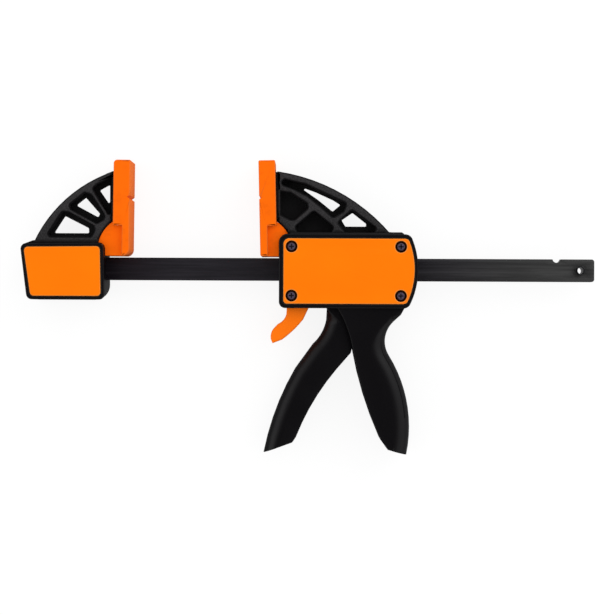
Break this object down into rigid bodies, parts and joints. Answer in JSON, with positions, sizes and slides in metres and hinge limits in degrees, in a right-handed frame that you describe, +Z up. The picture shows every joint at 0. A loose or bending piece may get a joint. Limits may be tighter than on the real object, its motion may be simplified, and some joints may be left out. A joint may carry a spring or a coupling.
{
  "type": "quick release bar clamp",
  "caption": "One-handed bar clamp: a fixed jaw on a steel bar and a sliding jaw with a squeeze trigger, a brake plate and a release lever.",
  "frame": {"origin": "middle of the clamp's outline in X and Y, on the face that it lies on, Z = 0", "axes": "+X along the bar, from the fixed jaw to the free end; +Y from the handles to the jaws; +Z up through the thickness, towards the front cover"},
  "size_m": [0.3411, 0.1746, 0.029],
  "materials": {
    "bar_steel": "blackened, brushed along its length",
    "black_nylon": "fine moulded grain",
    "orange_plastic": "satin moulded",
    "orange_pad": "soft, satin",
    "lever_orange": "satin moulded",
    "pin_steel": "dark spring steel",
    "plate_steel": "zinc plated",
    "spring_steel": "drawn wire",
    "black_screw": "blackened"
  },
  "bodies": {
    "bar_frame": {"bar": "bar_steel", "fixed_jaw": "black_nylon", "fixed_jaw_front_badge": "orange_plastic", "fixed_jaw_rear_badge": "orange_plastic", "fixed_jaw_pad": "orange_pad", "fixed_jaw_pins": "pin_steel", "stop_pin": "pin_steel"},
    "moving_jaw": {"jaw_housing": "black_nylon", "front_cover": "orange_plastic", "rear_cover": "orange_plastic", "front_cover_screws": "black_screw", "rear_cover_screws": "black_screw", "moving_jaw_pad": "orange_pad", "trigger_pivot_pin": "pin_steel", "drive_spring": "spring_steel", "brake_spring": "spring_steel"},
    "trigger": {"trigger": "black_nylon"},
    "drive_plates": {"drive_plate_inner": "plate_steel", "drive_plate_outer": "plate_steel"},
    "release": {"brake_plate": "plate_steel", "release_lever": "lever_orange"}
  },
  "joints": [
    {"name": "jaw_slide", "type": "slide", "parent": "bar_frame", "child": "moving_jaw", "axis": [1, 0, 0], "range_m": [-0.0753, 0.0946]},
    {"name": "trigger_pivot", "type": "hinge", "parent": "moving_jaw", "child": "trigger", "pos_m": [0.0132, 0.03488, 0.01449], "axis": [0, 0, 1], "range_deg": [0, 14], "stiffness_Nm_per_rad": 1.2, "springref_deg": -5.73},
    {"name": "drive_slide", "type": "slide", "parent": "moving_jaw", "child": "drive_plates", "axis": [1, 0, 0], "range_m": [0, 0.0058], "deforming": ["drive_spring"]},
    {"name": "release_pivot", "type": "hinge", "parent": "moving_jaw", "child": "release", "pos_m": [-0.0038, 0.03798, 0.01449], "axis": [0, 0, 1], "range_deg": [0, 7], "stiffness_Nm_per_rad": 0.6, "springref_deg": -5.73, "deforming": ["brake_spring"]}
  ],
  "couplings": [
    {"joint": "drive_slide", "follows": "trigger_pivot", "m_per_rad": 0.0232}
  ]
}
